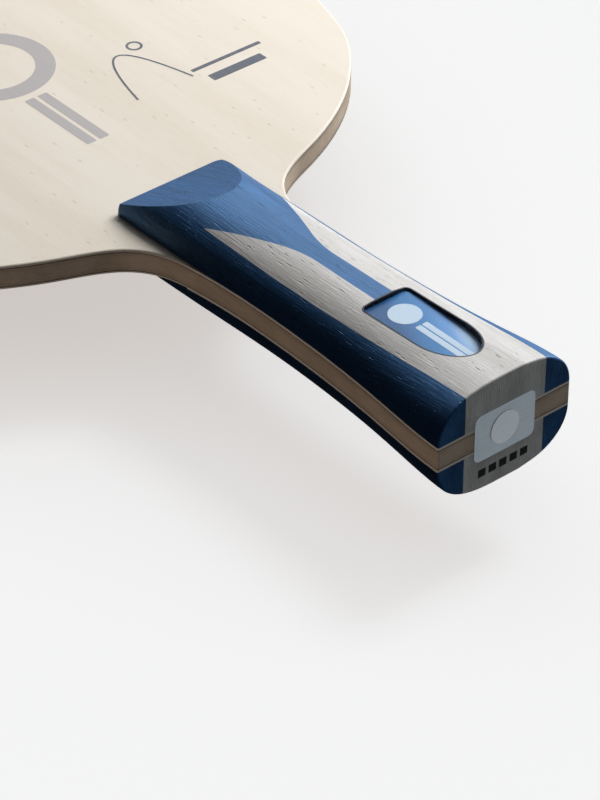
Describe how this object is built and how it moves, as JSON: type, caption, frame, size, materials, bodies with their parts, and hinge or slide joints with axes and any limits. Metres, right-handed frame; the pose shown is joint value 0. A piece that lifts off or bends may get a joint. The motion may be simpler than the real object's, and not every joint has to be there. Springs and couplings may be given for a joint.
{
  "type": "table tennis paddle",
  "caption": "Bare laminated table tennis blade with a flared two-tone handle, an inset lens badge and a plate on the butt; rubber sheets glue to both faces.",
  "frame": {"origin": "centre of the overall box: on the blade's mid-plane, half way between butt and tip", "axes": "+Y along the handle towards the head's tip, +Z out of the front playing face, +X across"},
  "size_m": [0.15, 0.2572, 0.0248],
  "materials": {
    "face_veneer": "fine-grained pale veneer, thin matt sealer",
    "inner_veneer": "warm brown sawn edge",
    "core_wood": "light brown sawn edge",
    "fibre_cloth": "dark resin-bonded fibre cloth, seen only at the edge",
    "dyed_blue_wood": "blue-dyed open-pored wood, satin",
    "dyed_grey_wood": "grey-dyed open-pored wood, satin",
    "badge_tray": "near-black satin recess",
    "badge_print": "graded blue foil with plain white stripes",
    "badge_lens": "clear domed resin",
    "butt_plate": "satin grey metal plate",
    "butt_roundel": "pale grey satin disc"
  },
  "bodies": {
    "root": {"back_face_ply": "face_veneer", "back_fibre_layer": "fibre_cloth", "back_inner_ply": "inner_veneer", "back_scale_dyed_inlay": "dyed_blue_wood", "back_scale_left_side": "dyed_blue_wood", "back_scale_pale_middle": "dyed_grey_wood", "back_scale_right_side": "dyed_blue_wood", "badge_lens": "badge_lens", "badge_print": "badge_print", "badge_tray": "badge_tray", "butt_plate": "butt_plate", "butt_roundel": "butt_roundel", "core_ply": "core_wood", "front_face_ply": "face_veneer", "front_fibre_layer": "fibre_cloth", "front_inner_ply": "inner_veneer", "front_scale_dyed_inlay": "dyed_blue_wood", "front_scale_left_side": "dyed_blue_wood", "front_scale_pale_middle": "dyed_grey_wood", "front_scale_right_side": "dyed_blue_wood"}
  },
  "joints": []
}
